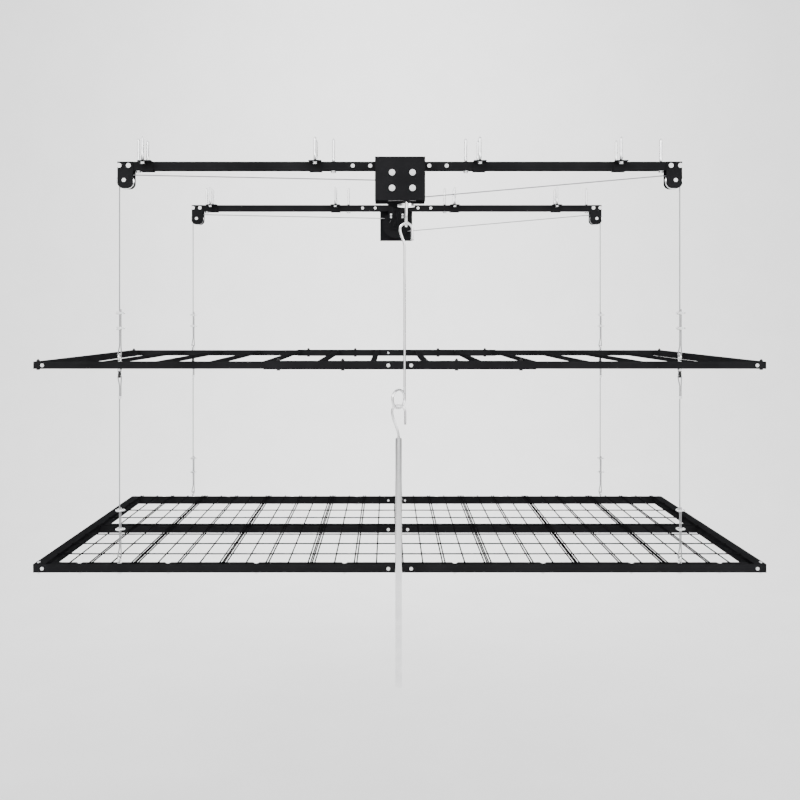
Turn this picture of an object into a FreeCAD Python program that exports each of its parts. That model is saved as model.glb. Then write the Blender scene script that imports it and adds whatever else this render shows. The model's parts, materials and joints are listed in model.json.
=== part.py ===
import FreeCAD, Part
import math
import os
import re

# Ceiling mounted pulley rack: two ceiling rails with a worm winch, four wire ropes,
# an upper tier of slats and a lower tier with a wire deck hung under it.
# X runs along the rails, Y from front to rear, Z up. The ceiling plane is Z = 0 and the
# origin lies midway between the rails. Lengths are millimetres.

SIZES = {
    # ceiling rails, each of two halves joined over a sleeve
    "rail_side": 28, "rail_wall": 2, "rail_half": 938, "rail_offset": 592,
    "fit_gap": 0.2, "run_gap": 0.08, "sleeve_half": 180,
    "splice_near": 98, "splice_far": 156, "splice_drop": 14,
    "lag_near": 220.5, "lag_far": 871.5, "lag_radius": 5, "lag_shank": 4.5, "lag_rise": 80,
    "lag_point": 12, "lag_tip": 1, "lag_washer": 9, "lag_washer_thick": 2, "lag_head": 8.7,
    "lag_head_height": 6.5,
    # joist brackets
    "strap_width": 42, "strap_thick": 3, "strap_reach": 48, "strap_hole": 34,
    "strap_one": -841, "strap_one_hole": -8.5, "strap_two": -280,
    "strap_three": 265, "strap_four": 731,
    # small bolts: shank, head and nut, and how far the shank stands out of the nut
    "bolt_tail": 3, "small_shank": 3, "small_nut": 5.8, "small_nut_height": 5,
    "small_head_height": 4, "splice_head": 6.5, "front_head": 6, "rear_head": 4.6,
    "standing_head": 6, "clip_head": 9, "clip_head_height": 2.5,
    # pulley cheeks and pulleys
    "cheek_width": 52.5, "cheek_drop": 88.5, "cheek_thick": 3, "cheek_round": 19,
    "cheek_screw_out": 931, "cheek_screw_in": 900, "cheek_screw_drop": 13.5,
    "axle_x": 915, "axle_drop": 62, "axle_radius": 4, "axle_head": 7.2, "axle_head_height": 5.5,
    "axle_nut": 7.5, "axle_nut_height": 6.5, "cheek_head": 7.8, "cheek_head_height": 4.5,
    "pulley_radius": 27.5, "pulley_width": 20, "groove_radius": 17.6, "groove_floor": 5,
    "flange_edge": 2.5, "pulley_pitch": 20, "pulley_hub_radius": 9, "pulley_hub_width": 27,
    # wire rope
    "rope_radius": 2, "rope_lead": 18, "drop_top": 95, "drop_bottom": 480,
    # drums on the torque shaft
    "drum_x": -4, "drum_drop": 92, "drum_radius": 28.6, "drum_pitch": 31, "drum_flange": 60,
    "drum_width": 24, "drum_flange_thick": 2, "wrap_radius": 33,
    "wrap_gap": 1, "shaft_radius": 8, "shaft_end": 8, "tube_radius": 13, "tube_half": 560,
    "shaft_overlap": 500, "bushing_radius": 12,
    # winch cover, plates and hangers
    "cover_half": 81, "cover_front": 706, "cover_drop": 141, "cover_wall": 2.5, "cover_bevel": 3,
    "plate_thick": 3, "rear_plate_x": -2, "rear_plate_half": 74, "rear_plate_drop": 162,
    "hanger_half": 34, "hanger_drop": 70, "tongue_half": 17, "tongue_drop": 112,
    "hanger_screw_left": -26, "hanger_screw_right": 27, "hanger_screw_high": 44,
    "hanger_screw_low": 56, "hanger_screw_head": 4.4, "hanger_screw_thick": 2.5,
    "hanger_screw_hex": 3.2, "hanger_screw_hex_height": 1.5,
    "cover_bolt_left": -26, "cover_bolt_right": 40, "cover_bolt_high": 51.5,
    "cover_bolt_low": 101.5, "cover_bolt_radius": 5, "cover_bolt_head": 10,
    "cover_bolt_head_thick": 3, "cover_bolt_hex": 8, "cover_bolt_hex_height": 6,
    "cover_bolt_depth": 9,
    # gearbox with a worm and a worm wheel
    "box_left": -38, "box_right": 52, "box_top": 30, "box_bottom": 138, "box_back": 661,
    "well_left": -29, "well_right": 36, "well_top": 60, "well_bottom": 130,
    "well_front": 693, "well_back": 665,
    "worm_x": 20, "worm_y": 677, "wheel_radius": 16.2, "wheel_tip": 19.3, "wheel_width": 6,
    "wheel_teeth": 24, "tooth_width": 2.4, "worm_root": 4.2, "worm_journal": 6,
    "worm_top": 8, "worm_top_bore": 10,
    "boss_radius": 9, "boss_drop": 144, "disc_radius": 27.5, "disc_top": 150.5, "disc_thick": 7.5,
    "eye_half": 32, "eye_rod": 4, "eye_leg_top": 147, "eye_arc_drop": 188, "eye_pin": 3,
    "eye_pin_depth": 9,
    # hanging crank: a hook rod with a ring, then a hook on a tube
    "crank_rod": 4, "crank_gap": 0.3, "hook_bend": 20, "hook_tip": 270, "rod_shoulder": 238,
    "rod_x": 15, "rod_straight": 278, "ring_bend": 29.5, "ring_drop": 781, "ring_turn": 48,
    "ring_gap": 1.2, "tube_hook_bend": 21, "tube_hook_tip": 865,
    "tube_hook_step": 15, "crank_tube_x": -4.8, "crank_tube_neck": 4, "crank_tube_taper": 3,
    "crank_tube_radius": 11, "crank_tube_bore": 9, "crank_tube_top": 905.6,
    "crank_tube_bottom": 1708, "crank_plug": 16,
    # upper tier
    "tier_half": 1219, "upper_side": 24, "upper_top": 664.8, "tier_wall": 1.8,
    "upper_sleeve_side": 28, "upper_sleeve_half": 453, "slat_width": 18, "slat_depth": 12, "slat_wall": 1.5,
    "slat_pitch": 179.5, "slat_first": 89.75, "joint_bolt": 38, "corner_bolt": 1188,
    "sleeve_bolt_near": 190, "sleeve_bolt_far": 405, "upper_corner": 12,
    # lower tier
    "lower_side": 28, "lower_top": 1338, "cross_width": 40, "mid_width": 40, "lower_corner": 14,
    "deck_pitch": 294.5, "deck_wire": 2.25, "deck_weld": 0.5, "deck_edge": 7, "deck_pair": 4.2,
    "deck_single": 70, "deck_first": 115, "deck_step": 149, "deck_half": 604,
    "deck_clip_first": 184,
    # rope ends, eyebolts and rope clips
    "hang_x": 935, "eyebolt_bend": 10, "eyebolt_rod": 3.5, "eyebolt_shank": 4,
    "eye_collar": 7, "eye_collar_thick": 1.5, "eye_nut": 7.5, "eye_nut_height": 6, "eye_tail": 8,
    "under_collar": 6, "under_collar_height": 3.2, "under_collar_drop": 11.2, "loop_bend": 5.9, 
    "loop_rise": 30, "strand_gap": 4.4, "tail_step": 8, "low_tail": 12, "ferrule_tail": 4,
    "main_clip_high": 503, "main_clip_low": 554, "low_clip_high": 1161, "low_clip_low": 1224,
    "ferrule_drop": 785, "under_eye_bar": 716.5, "under_eye_bend": 8,
    "clip_length": 9, "clip_width": 20, "clip_height": 8, "clip_back": 4, "staple_bend": 7,
    "staple_rod": 2.5, "staple_leg": 20, "clip_nut": 4.6, "clip_nut_height": 4,
    "ferrule_length": 10.5, "ferrule_width": 6, "ferrule_height": 10, "ferrule_back": 3,
}

SIDES = {"front": -1, "rear": 1}
ENDS = {"left": -1, "right": 1}

doc = FreeCAD.newDocument("pulley_rack")
sheet = doc.addObject("Spreadsheet::Sheet", "dims")
for row, (alias, value) in enumerate(SIZES.items(), start=1):
    sheet.set(f"A{row}", alias)
    sheet.set(f"B{row}", str(value))
    sheet.setAlias(f"B{row}", alias)
doc.recompute()

nodes = []

X_AXIS = FreeCAD.Vector(1, 0, 0)
Y_AXIS = FreeCAD.Vector(0, 1, 0)
Z_AXIS = FreeCAD.Vector(0, 0, 1)
STRAIGHT = FreeCAD.Rotation()
ALONG = {
    "z": STRAIGHT,
    "-z": FreeCAD.Rotation(X_AXIS, 180),
    "x": FreeCAD.Rotation(Y_AXIS, 90),
    "-x": FreeCAD.Rotation(Y_AXIS, -90),
    "y": FreeCAD.Rotation(X_AXIS, -90),
    "-y": FreeCAD.Rotation(X_AXIS, 90),
}
IN_XZ = FreeCAD.Rotation(X_AXIS, 90)
IN_YZ = FreeCAD.Rotation(FreeCAD.Vector(1, 1, 1), 120)


def in_cells(expression):
    """Return the expression with each alias pointing at its cell of the sheet."""
    def cell(match):
        word = match[0]
        return f"dims.{word}" if word in SIZES else word
    return re.sub(r"[a-z_]+", cell, str(expression))


def number(expression):
    """Return the value of an expression of the driving dimensions."""
    return float(sheet.evalExpression(str(expression)))


def make(kind, **sizes):
    """Add one feature and bind its sizes to the sheet."""
    feature = doc.addObject(kind, "feature")
    for name, expression in sizes.items():
        feature.setExpression(name, in_cells(expression))
    return feature


def put(feature, at, turn=STRAIGHT):
    """Turn a feature and bind its place to the sheet."""
    feature.Placement = FreeCAD.Placement(FreeCAD.Vector(), turn)
    for axis, expression in zip("xyz", at):
        feature.setExpression(f"Placement.Base.{axis}", in_cells(expression))
    return feature


def box(size, low):
    length, width, height = size
    return put(make("Part::Box", Length=length, Width=width, Height=height), low)


def rod(radius, length, start, axis="z"):
    turn = ALONG[axis] if isinstance(axis, str) else axis
    return put(make("Part::Cylinder", Radius=radius, Height=length), start, turn)


def cone(radius_start, radius_end, length, start, axis="z"):
    feature = make("Part::Cone", Radius1=radius_start, Radius2=radius_end, Height=length)
    return put(feature, start, ALONG[axis])


def hexagon(radius, length, start, axis="z"):
    return put(make("Part::Prism", Circumradius=radius, Height=length), start, ALONG[axis])


def ball(radius, centre):
    return put(make("Part::Sphere", Radius=radius), centre)


def arc(bend, radius, centre, plane, first, sweep):
    """A bent round bar: part of a torus from the angle first, over the angle sweep."""
    feature = make("Part::Torus", Radius1=bend, Radius2=radius)
    feature.Angle3 = sweep
    return put(feature, centre, plane.multiply(FreeCAD.Rotation(Z_AXIS, first)))


def strut(radius, start, end):
    """A straight round bar between two points given as expressions."""
    first = FreeCAD.Vector(*(number(value) for value in start))
    last = FreeCAD.Vector(*(number(value) for value in end))
    span = last - first
    feature = make("Part::Cylinder", Radius=radius)
    feature.Height = span.Length
    return put(feature, start, FreeCAD.Rotation(Z_AXIS, span))


def fuse(*shapes):
    feature = doc.addObject("Part::MultiFuse", "fusion")
    feature.Shapes = list(shapes)
    return feature


def group(*shapes):
    feature = doc.addObject("Part::Compound", "group")
    feature.Links = list(shapes)
    return feature


def cut(base, *tools):
    feature = doc.addObject("Part::Cut", "cut")
    feature.Base = base
    feature.Tool = tools[0] if len(tools) == 1 else group(*tools)
    return feature


def copy(source, at, turn=STRAIGHT):
    link = doc.addObject("App::Link", "copy")
    link.LinkedObject = source
    return put(link, at, turn)


def round_edges(base, radius, wanted):
    """Fillet the edges of a box that run along Y and lie at the wanted height."""
    doc.recompute()
    rounding = doc.addObject("Part::Fillet", "rounding")
    rounding.Base = base
    picks = [place for place, edge in enumerate(base.Shape.Edges, start=1) if wanted(edge)]
    rounding.Edges = [(place, number(radius), number(radius)) for place in picks]
    return rounding


def node(label, *shapes):
    """Name one sub-part. Several shapes are separate pieces of one kind."""
    feature = shapes[0] if len(shapes) == 1 else group(*shapes)
    feature.Label = label
    nodes.append(feature)


def bolt(head, head_height, shank, grip, nut, nut_height, round_head=False):
    """A bolt along +Z with its head under Z = 0, and its nut on the far side of the grip."""
    head_shape = rod if round_head else hexagon
    body = fuse(
        head_shape(head, head_height, ("0", "0", f"-({head_height})")),
        rod(shank, f"{grip} + {nut_height} + bolt_tail", ("0", "0", "0")),
    )
    ring = cut(
        hexagon(nut, nut_height, ("0", "0", grip)),
        rod(shank, nut_height, ("0", "0", grip)),
    )
    return group(body, ring)


def small_bolt(head, grip, round_head=False, head_height="small_head_height"):
    return bolt(head, head_height, "small_shank", grip, "small_nut", "small_nut_height", round_head)


def square_tube(half_or_length, side, wall, start, axis):
    """A square tube that starts at the middle of its end face and runs along X or Y."""
    inner = f"({side} - 2 * {wall})"
    x, y, z = start
    if axis == "x":
        outer_size, inner_size = (half_or_length, side, side), (half_or_length, inner, inner)
        outer_low = (x, f"{y} - {side} / 2", f"{z} - {side} / 2")
        inner_low = (x, f"{y} - {inner} / 2", f"{z} - {inner} / 2")
    else:
        outer_size, inner_size = (side, half_or_length, side), (inner, half_or_length, inner)
        outer_low = (f"{x} - {side} / 2", y, f"{z} - {side} / 2")
        inner_low = (f"{x} - {inner} / 2", y, f"{z} - {inner} / 2")
    return box(outer_size, outer_low), box(inner_size, inner_low)


# ---- ceiling rails ---------------------------------------------------------------------------

def build_rails():
    """Two square tubes per rail, the sleeve inside their joint and the bolts across it."""
    middle = "-rail_side / 2"
    sleeves = []
    for side_name, side in SIDES.items():
        centre_y = f"{side} * rail_offset"
        face_y = f"{centre_y} - rail_side / 2"
        for end_name, end in ENDS.items():
            start = ("-rail_half" if end < 0 else "0", centre_y, middle)
            outer, inner = square_tube("rail_half", "rail_side", "rail_wall", start, "x")
            holes = [rod("lag_radius + fit_gap", "rail_side", (f"{end} * {x}", centre_y, "-rail_side"))
                     for x in ("lag_near", "lag_far")]
            holes += [rod("small_shank + fit_gap", "rail_side",
                          (f"{end} * {x}", face_y, "-splice_drop"), "y")
                      for x in ("splice_near", "splice_far")]
            holes += [rod("axle_radius + fit_gap", "rail_side",
                          (f"{end} * {x}", face_y, "-cheek_screw_drop"), "y")
                      for x in ("cheek_screw_out", "cheek_screw_in")]
            node(f"rail_{side_name}_{end_name}", cut(outer, inner, *holes))
        sleeve_side = "(rail_side - 2 * rail_wall - 2 * fit_gap)"
        outer, inner = square_tube("2 * sleeve_half", sleeve_side, "rail_wall",
                                   ("-sleeve_half", centre_y, middle), "x")
        holes = [rod("small_shank + fit_gap", "rail_side",
                     (f"{end} * {x}", face_y, "-splice_drop"), "y")
                 for end in ENDS.values() for x in ("splice_near", "splice_far")]
        sleeves.append(cut(outer, inner, *holes))
    node("rail_splices", *sleeves)

    splice_bolt = small_bolt("splice_head", "rail_side", round_head=True)
    node("splice_bolts", *[
        copy(splice_bolt, (f"{end} * {x}", f"{side} * rail_offset - rail_side / 2", "-splice_drop"),
             ALONG["y"])
        for side in SIDES.values() for end in ENDS.values() for x in ("splice_near", "splice_far")])


def lag_screw(seat_drop):
    """A pointed lag screw with a washer and a hexagon head, its seat at Z = 0."""
    return fuse(
        hexagon("lag_head", "lag_head_height", ("0", "0", "-lag_washer_thick - lag_head_height")),
        rod("lag_washer", "lag_washer_thick", ("0", "0", "-lag_washer_thick")),
        rod("lag_shank", seat_drop, ("0", "0", "0")),
        rod("lag_radius", "lag_rise - lag_point", ("0", "0", seat_drop)),
        cone("lag_radius", "lag_tip", "lag_point", ("0", "0", f"{seat_drop} + lag_rise - lag_point")),
    )


def strap(hole_x):
    """A hat strap under a rail, with a screw hole in each flange."""
    web_low = "-rail_side - strap_thick"
    flange = "(strap_reach - rail_side / 2)"
    parts = [box(("strap_width", "rail_side + 2 * strap_thick", "strap_thick"),
                 ("-strap_width / 2", "-rail_side / 2 - strap_thick", web_low))]
    for side in SIDES.values():
        wall_y = "rail_side / 2" if side > 0 else "-rail_side / 2 - strap_thick"
        flange_y = "rail_side / 2" if side > 0 else "-strap_reach"
        parts.append(box(("strap_width", "strap_thick", "rail_side + strap_thick"),
                         ("-strap_width / 2", wall_y, web_low)))
        parts.append(box(("strap_width", flange, "strap_thick"),
                         ("-strap_width / 2", flange_y, "-strap_thick")))
    holes = [rod("lag_radius + fit_gap", "strap_thick", (hole_x, f"{side} * strap_hole", "-strap_thick"))
             for side in SIDES.values()]
    return cut(fuse(*parts), *holes)


def build_ceiling_fixings():
    """Hat straps under the rails, and the lag screws that stand up into the joists."""
    middle_hole, side_hole = strap("0"), strap("strap_one_hole")
    stations = (("strap_one", "strap_one_hole", side_hole), ("strap_two", "0", middle_hole),
                ("strap_three", "0", middle_hole), ("strap_four", "0", middle_hole))
    node("joist_brackets", *[copy(source, (x, f"{side} * rail_offset", "0"))
                             for side in SIDES.values() for x, _, source in stations])
    short_screw = lag_screw("strap_thick")
    node("bracket_lag_screws", *[
        copy(short_screw, (f"{x} + {hole_x}", f"{side} * rail_offset + {edge} * strap_hole", "-strap_thick"))
        for side in SIDES.values() for edge in SIDES.values() for x, hole_x, _ in stations])
    long_screw = lag_screw("rail_side")
    node("rail_lag_screws", *[
        copy(long_screw, (f"{end} * {x}", f"{side} * rail_offset", "-rail_side"))
        for side in SIDES.values() for end in ENDS.values() for x in ("lag_near", "lag_far")])


# ---- pulleys ---------------------------------------------------------------------------------

def build_pulleys():
    """Cheek plates astride each rail end, with a grooved pulley between them."""
    low_x = {"left": "-rail_half", "right": "rail_half - cheek_width"}
    cheeks = []
    for side in SIDES.values():
        for end_name, end in ENDS.items():
            for face in (f"{side} * rail_offset - rail_side / 2 - cheek_thick",
                         f"{side} * rail_offset + rail_side / 2"):
                blank = box(("cheek_width", "cheek_thick", "cheek_drop"),
                            (low_x[end_name], face, "-cheek_drop"))
                rounded = round_edges(blank, "cheek_round", lambda edge: abs(edge.tangentAt(0).y) > 0.9
                                      and all(vertex.Z < -number("rail_side") for vertex in edge.Vertexes))
                holes = [rod("axle_radius + fit_gap", "cheek_thick", (f"{end} * {x}", face, f"-{z}"), "y")
                         for x, z in (("axle_x", "axle_drop"), ("cheek_screw_out", "cheek_screw_drop"),
                                      ("cheek_screw_in", "cheek_screw_drop"))]
                cheeks.append(cut(rounded, *holes))
    node("pulley_cheeks", *cheeks)

    slope = "(pulley_width - groove_floor - 2 * flange_edge) / 2"
    half = "pulley_width / 2"
    pulley = cut(
        fuse(
            rod("groove_radius", "pulley_width", ("0", f"-{half}", "0"), "y"),
            rod("pulley_hub_radius", "pulley_hub_width", ("0", "-pulley_hub_width / 2", "0"), "y"),
            rod("pulley_radius", "flange_edge", ("0", f"-{half}", "0"), "y"),
            rod("pulley_radius", "flange_edge", ("0", f"{half} - flange_edge", "0"), "y"),
            cone("pulley_radius", "groove_radius", slope, ("0", f"-{half} + flange_edge", "0"), "y"),
            cone("pulley_radius", "groove_radius", slope, ("0", f"{half} - flange_edge", "0"), "-y"),
        ),
        rod("axle_radius + run_gap", "pulley_hub_width", ("0", "-pulley_hub_width / 2", "0"), "y"),
    )
    for side_name, side in SIDES.items():
        for end_name, end in ENDS.items():
            node(f"pulley_{side_name}_{end_name}",
                 group(copy(pulley, (f"{end} * axle_x", f"{side} * rail_offset", "-axle_drop"))))

    grip = "(rail_side + 2 * cheek_thick)"
    face = "rail_side / 2 + cheek_thick"
    axle_bolt = bolt("axle_head", "axle_head_height", "axle_radius", grip, "axle_nut", "axle_nut_height")
    cheek_bolt = bolt("cheek_head", "cheek_head_height", "axle_radius", grip, "axle_nut",
                      "axle_nut_height", round_head=True)
    node("pulley_axle_bolts", *[
        copy(axle_bolt, (f"{end} * axle_x", f"{side} * rail_offset - ({face})", "-axle_drop"), ALONG["y"])
        for side in SIDES.values() for end in ENDS.values()])
    node("cheek_bolts", *[
        copy(cheek_bolt, (f"{end} * {x}", f"{side} * rail_offset - ({face})", "-cheek_screw_drop"),
             ALONG["y"])
        for side in SIDES.values() for end in ENDS.values() for x in ("cheek_screw_out", "cheek_screw_in")])


# ---- winch -----------------------------------------------------------------------------------

def build_cover():
    """Open-bottomed winch cover with its back plate, and the four large bolts in its face."""
    depth = "(cover_front - rail_offset - rail_side / 2 - plate_thick)"
    blank = round_edges(
        box(("2 * cover_half", depth, "cover_drop"), ("-cover_half", "-cover_front", "-cover_drop")),
        "cover_bevel", lambda edge: all(vertex.Y < -number("cover_front") + 1 for vertex in edge.Vertexes)
        and abs(edge.tangentAt(0).z) > 0.9)
    inside = box(("2 * (cover_half - cover_wall)", depth, "cover_drop - cover_wall"),
                 ("-cover_half + cover_wall", "-cover_front + cover_wall", "-cover_drop"))
    bolts = [(x, z) for x in ("cover_bolt_left", "cover_bolt_right")
             for z in ("cover_bolt_high", "cover_bolt_low")]
    holes = [rod("cover_bolt_radius + fit_gap", "cover_wall", (x, "-cover_front", f"-{z}"), "y")
             for x, z in bolts]
    node("winch_cover", cut(blank, inside, *holes))

    plate_y = "-rail_offset - rail_side / 2 - plate_thick"
    node("winch_back_plate", cut(
        box(("2 * cover_half", "plate_thick", "cover_drop"), ("-cover_half", plate_y, "-cover_drop")),
        rod("bushing_radius", "plate_thick", ("drum_x", plate_y, "-drum_drop"), "y")))

    bolt_body = fuse(
        rod("cover_bolt_head", "cover_bolt_head_thick", ("0", "0", "-cover_bolt_head_thick")),
        hexagon("cover_bolt_hex", "cover_bolt_hex_height",
                ("0", "0", "-cover_bolt_head_thick - cover_bolt_hex_height + 1")),
        rod("cover_bolt_radius", "cover_wall + cover_bolt_depth", ("0", "0", "0")))
    node("cover_bolts", *[copy(bolt_body, (x, "-cover_front", f"-{z}"), ALONG["y"]) for x, z in bolts])


def build_gearbox():
    """Housing with its bearing bores, the worm wheel on the drive shaft and the input worm."""
    front = "-cover_front + cover_wall"
    housing = fuse(
        box(("box_right - box_left", "cover_front - cover_wall - box_back", "box_bottom - box_top"),
            ("box_left", front, "-box_bottom")),
        rod("boss_radius", "boss_drop - box_bottom", ("worm_x", "-worm_y", "-boss_drop")))
    well = box(("well_right - well_left", "well_front - well_back", "well_bottom - well_top"),
               ("well_left", "-well_front", "-well_bottom"))
    holes = [rod("cover_bolt_radius", "cover_bolt_depth", (x, front, f"-{z}"), "y")
             for x in ("cover_bolt_left", "cover_bolt_right")
             for z in ("cover_bolt_high", "cover_bolt_low")]
    node("gearbox_housing", cut(
        housing, well, *holes,
        rod("shaft_radius + run_gap", "well_back - box_back", ("drum_x", "-well_back", "-drum_drop"), "y"),
        rod("worm_journal + run_gap", "boss_drop - well_bottom", ("worm_x", "-worm_y", "-boss_drop")),
        rod("worm_root + run_gap", "worm_top_bore", ("worm_x", "-worm_y", "-well_top"))))

    tooth = group(box(("wheel_tip - wheel_radius + 1", "wheel_width", "tooth_width"),
                      ("wheel_radius - 1", "-wheel_width / 2", "-tooth_width / 2")))
    teeth = int(number("wheel_teeth"))
    wheel = cut(
        fuse(rod("wheel_radius", "wheel_width", ("0", "-wheel_width / 2", "0"), "y"),
             *[copy(tooth, ("0", "0", "0"), FreeCAD.Rotation(Y_AXIS, 360 * turn / teeth))
               for turn in range(teeth)]),
        rod("shaft_radius", "wheel_width", ("0", "-wheel_width / 2", "0"), "y"))
    node("worm_wheel", group(copy(wheel, ("drum_x", "-worm_y", "-drum_drop"))))

    disc_low = "-disc_top - disc_thick"
    node("worm_shaft", fuse(
        rod("worm_root", "well_bottom - well_top + worm_top", ("worm_x", "-worm_y", "-well_bottom")),
        rod("worm_journal", "disc_top + disc_thick - well_bottom", ("worm_x", "-worm_y", disc_low))))
    pins = [rod("eye_pin", "eye_pin_depth + 1",
                ("worm_x", f"-worm_y + {side} * disc_radius", "-disc_top - disc_thick / 2"),
                "-y" if side > 0 else "y") for side in SIDES.values()]
    node("input_disc", cut(
        rod("disc_radius", "disc_thick", ("worm_x", "-worm_y", disc_low)),
        rod("worm_journal", "disc_thick", ("worm_x", "-worm_y", disc_low)), *pins))

    leg_length = "eye_arc_drop - eye_leg_top"
    parts = [arc("eye_half", "eye_rod", ("worm_x", "-worm_y", "-eye_arc_drop"), IN_YZ, 180, 180)]
    for side in SIDES.values():
        leg_y = f"-worm_y + {side} * eye_half"
        parts.append(rod("eye_rod", leg_length, ("worm_x", leg_y, "-eye_arc_drop")))
        parts.append(rod("eye_pin", "eye_half - disc_radius + eye_pin_depth",
                         ("worm_x", leg_y, "-disc_top - disc_thick / 2"), "-y" if side > 0 else "y"))
    node("input_eye", fuse(*parts))


def build_drums():
    """Two cable drums, their wound rope, the torque tube between them and the bearings."""
    half = "drum_width / 2"
    drum = cut(
        fuse(rod("drum_radius", "drum_width", ("0", f"-{half}", "0"), "y"),
             rod("drum_flange", "drum_flange_thick", ("0", f"-{half}", "0"), "y"),
             rod("drum_flange", "drum_flange_thick", ("0", f"{half} - drum_flange_thick", "0"), "y")),
        rod("shaft_radius", "drum_width", ("0", f"-{half}", "0"), "y"))
    for side_name, side in SIDES.items():
        node(f"cable_drum_{side_name}",
             group(copy(drum, ("drum_x", f"{side} * rail_offset", "-drum_drop"))))
    wound = "drum_width - 2 * drum_flange_thick - wrap_gap"
    wrap = cut(rod("wrap_radius", wound, ("0", f"-({wound}) / 2", "0"), "y"),
               rod("drum_radius", wound, ("0", f"-({wound}) / 2", "0"), "y"))
    node("drum_cable_wraps",
         *[copy(wrap, ("drum_x", f"{side} * rail_offset", "-drum_drop")) for side in SIDES.values()])

    node("torque_tube", cut(
        rod("tube_radius", "2 * tube_half", ("drum_x", "-tube_half", "-drum_drop"), "y"),
        rod("shaft_radius", "2 * tube_half", ("drum_x", "-tube_half", "-drum_drop"), "y")))
    node("drive_shaft", rod("shaft_radius", "worm_y + shaft_end - shaft_overlap",
                            ("drum_x", "-worm_y - shaft_end", "-drum_drop"), "y"))
    rear_end = "rail_offset + rail_side / 2 + plate_thick + shaft_end + 1"
    node("rear_stub_shaft", rod("shaft_radius", f"{rear_end} - shaft_overlap",
                                ("drum_x", "shaft_overlap", "-drum_drop"), "y"))

    outer_face = "rail_offset + rail_side / 2"
    bearing_outer, bearing_bore = "bushing_radius", "shaft_radius + run_gap"
    places = [f"-({outer_face}) - plate_thick", outer_face]
    node("shaft_bushings", *[
        cut(rod(bearing_outer, "plate_thick", ("drum_x", y, "-drum_drop"), "y"),
            rod(bearing_bore, "plate_thick", ("drum_x", y, "-drum_drop"), "y")) for y in places])
    node("rear_drum_plate", cut(
        box(("2 * rear_plate_half", "plate_thick", "rear_plate_drop"),
            ("rear_plate_x - rear_plate_half", outer_face, "-rear_plate_drop")),
        rod(bearing_outer, "plate_thick", ("drum_x", outer_face, "-drum_drop"), "y")))

    inner_face = "rail_offset - rail_side / 2"
    hangers = []
    for low_y in (f"-({inner_face})", f"{inner_face} - plate_thick"):
        hangers.append(cut(
            fuse(box(("2 * hanger_half", "plate_thick", "hanger_drop"),
                     ("drum_x - hanger_half", low_y, "-hanger_drop")),
                 box(("2 * tongue_half", "plate_thick", "tongue_drop"),
                     ("drum_x - tongue_half", low_y, "-tongue_drop"))),
            rod(bearing_bore, "plate_thick", ("drum_x", low_y, "-drum_drop"), "y")))
    node("shaft_hangers", *hangers)
    screw = fuse(
        rod("hanger_screw_head", "hanger_screw_thick", ("0", "0", "-hanger_screw_thick")),
        hexagon("hanger_screw_hex", "hanger_screw_hex_height",
                ("0", "0", "-hanger_screw_thick - hanger_screw_hex_height")))
    node("hanger_screws", *[
        copy(screw, (x, f"{inner_face} - plate_thick", f"-{z}"), ALONG["y"])
        for x in ("hanger_screw_left", "hanger_screw_right")
        for z in ("hanger_screw_high", "hanger_screw_low")])


# ---- wire ropes ------------------------------------------------------------------------------

def build_main_ropes():
    """Each rope: straight from the drum to its pulley, a quarter turn, and down."""
    centre = {"left": FreeCAD.Vector(-number("axle_x"), 0, -number("axle_drop")),
              "right": FreeCAD.Vector(number("axle_x"), 0, -number("axle_drop"))}
    drum = FreeCAD.Vector(number("drum_x"), 0, -number("drum_drop"))
    lead = number("rope_lead")
    drum_reach, pulley_reach = number("drum_pitch"), number("pulley_pitch")
    runs = []
    for end_name, end in ENDS.items():
        # The left rope leaves the top of the drum, the right rope leaves its underside.
        over = 1 if end < 0 else -1
        span = centre[end_name] - drum
        line = math.atan2(span.z, abs(span.x))
        lean = math.asin((over * drum_reach - pulley_reach) / span.Length)
        slope = line - lean
        normal = FreeCAD.Vector(-end * math.sin(slope), 0, math.cos(slope))
        run_start = drum + normal * (over * drum_reach)
        run_end = centre[end_name] + normal * pulley_reach
        turned = 90 + math.degrees(slope)
        for side in SIDES.values():
            rail_y = side * number("rail_offset")
            first = run_start + Y_AXIS * rail_y
            last = run_end + Y_AXIS * rail_y
            first = first + (last - first).normalize() * lead
            straight = strut("rope_radius", tuple(first), tuple(last))
            bend = arc("pulley_pitch", "rope_radius",
                       (f"{end} * axle_x", f"{side} * rail_offset", "-axle_drop"),
                       IN_XZ, 0 if end > 0 else 180 - turned, turned)
            tail = rod("rope_radius", "drop_top - axle_drop",
                       (f"{end} * hang_x", f"{side} * rail_offset", "-drop_top"))
            runs.append(fuse(straight, bend, tail))
    node("cable_runs", *runs)
    node("cable_drops", *[
        rod("rope_radius", "drop_bottom - drop_top",
            (f"{end} * hang_x", f"{side} * rail_offset", "-drop_bottom"))
        for side in SIDES.values() for end in ENDS.values()])


def rope_loop():
    """The eye of a rope end around a bar along Y at the origin, closing upwards."""
    return [arc("loop_bend", "rope_radius", ("0", "0", "0"), IN_XZ, 180, 180),
            strut("rope_radius", ("-loop_bend", "0", "0"), ("0", "0", "loop_rise")),
            strut("rope_radius", ("loop_bend", "0", "0"), ("strand_gap", "0", "loop_rise"))]


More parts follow.
